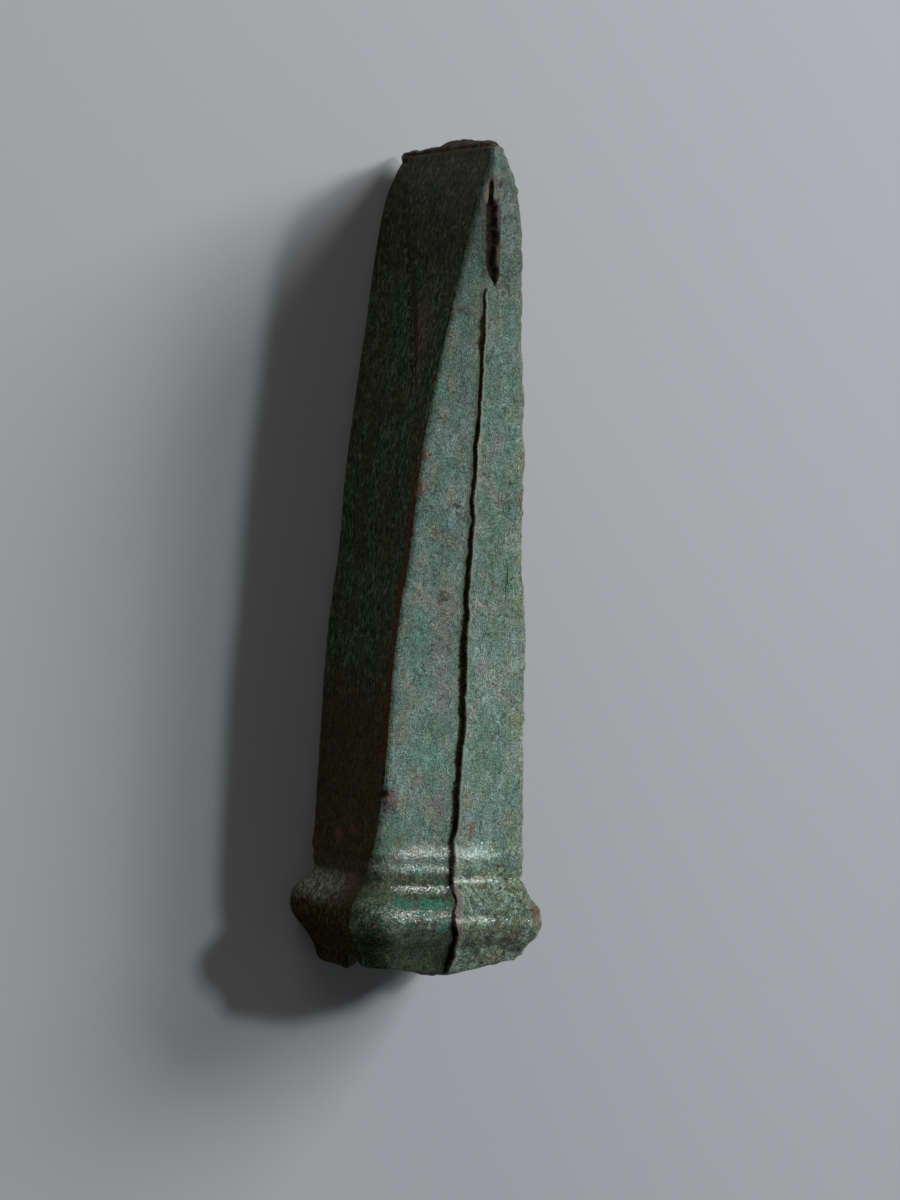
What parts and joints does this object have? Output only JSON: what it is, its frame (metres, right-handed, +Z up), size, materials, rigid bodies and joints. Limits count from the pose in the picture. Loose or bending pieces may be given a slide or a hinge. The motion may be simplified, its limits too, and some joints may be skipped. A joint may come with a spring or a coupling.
{
  "type": "socketed bronze axe head",
  "caption": "Slim socketed bronze axe head with a square bulged collar, casting seams and a tapered wedge blade, lying on its side.",
  "frame": {"origin": "on the ground, under the centre of the box around the axe head as it lies", "axes": "+X along the casting towards the blade, +Z up through the narrow side with the open seam, Y across the wide faces"},
  "size_m": [0.1264, 0.0306, 0.0354],
  "materials": {
    "patinated_bronze": "rough green and brown patina with worn, slightly glossy edges"
  },
  "bodies": {
    "root": {"axe_head": "patinated_bronze"}
  },
  "joints": []
}
